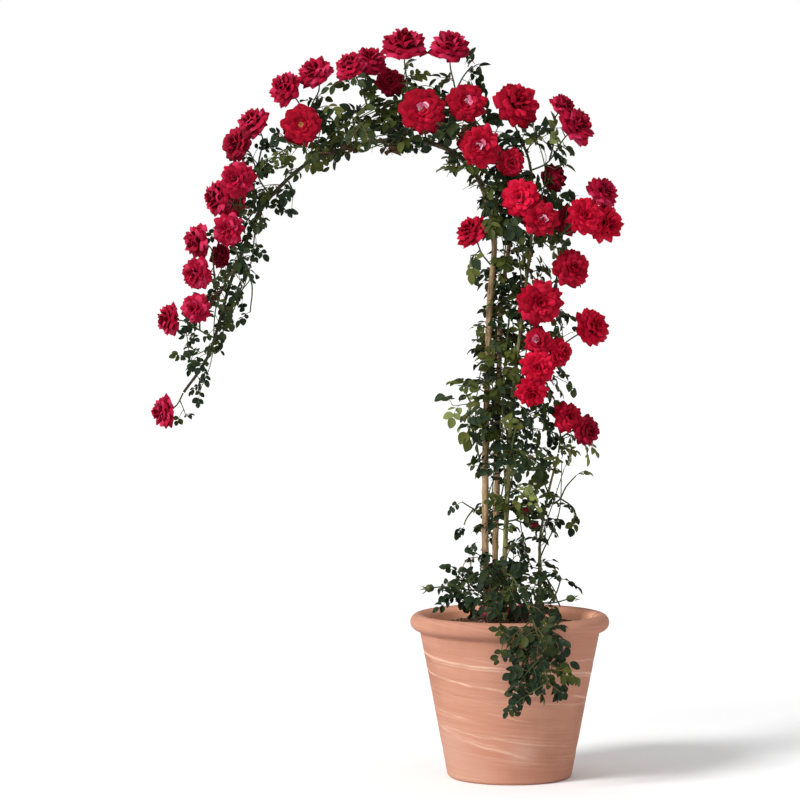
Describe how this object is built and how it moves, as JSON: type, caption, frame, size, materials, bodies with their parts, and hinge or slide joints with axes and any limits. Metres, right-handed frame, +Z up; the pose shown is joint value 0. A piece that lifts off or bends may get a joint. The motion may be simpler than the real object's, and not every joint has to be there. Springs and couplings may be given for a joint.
{
  "type": "potted climbing rose",
  "caption": "Climbing rose in a round terracotta pot: upright woody canes that bend into a one-sided arch of red blooms and small dark leaves.",
  "frame": {"origin": "centre of the flat underside of the pot", "axes": "+Z up; the arch of the plant bends towards -X; the fuller side of the blooms faces -Y"},
  "size_m": [1.1691, 0.5884, 1.8616],
  "materials": {
    "terracotta": "matt fired clay with pale streaks",
    "soil": "loose dark potting compost with bark chips",
    "old_bark": "tan woody rose bark",
    "young_bark": "green young rose bark",
    "foliage": "matt leaves, twigs and red petals"
  },
  "bodies": {
    "root": {"pot": "terracotta", "soil": "soil", "stem_left": "old_bark", "arch_rise": "old_bark", "arch_top": "old_bark", "arch_fall": "old_bark", "arch_tail": "old_bark", "stem_back": "old_bark", "back_rise": "old_bark", "back_top": "old_bark", "stem_young": "young_bark", "stem_side": "young_bark", "spray_tail_end": "foliage", "spray_tail_inner": "foliage", "spray_tail_outer": "foliage", "spray_tail_upper": "foliage", "spray_fall_low": "foliage", "spray_fall_inner": "foliage", "spray_fall_mid": "foliage", "spray_fall_high": "foliage", "spray_bend_front": "foliage", "spray_bend_under": "foliage", "spray_top_left": "foliage", "spray_top_pair": "foliage", "spray_top_front": "foliage", "spray_top_crest": "foliage", "spray_top_right": "foliage", "spray_arch_front": "foliage", "spray_arch_under": "foliage", "spray_rise_high": "foliage", "spray_rise_front": "foliage", "spray_rise_under": "foliage", "spray_shoot_top": "foliage", "spray_shoot_right": "foliage", "spray_shoot_mid": "foliage", "spray_column_top": "foliage", "spray_right_cluster": "foliage", "spray_left_bloom": "foliage", "spray_right_upper": "foliage", "spray_big_bloom": "foliage", "spray_right_shoot": "foliage", "spray_column_front": "foliage", "spray_side_top": "foliage", "spray_side_mid": "foliage", "spray_left_mid": "foliage", "spray_left_high": "foliage", "spray_mid_front": "foliage", "spray_left_low": "foliage", "spray_buds": "foliage", "spray_base_left": "foliage", "spray_base_front": "foliage", "spray_base_right": "foliage", "spray_trail": "foliage", "spray_back_base": "foliage", "spray_back_low": "foliage", "spray_back_mid": "foliage", "spray_back_high": "foliage", "spray_back_arch": "foliage", "spray_back_fall": "foliage", "spray_back_bend": "foliage"}
  },
  "joints": []
}
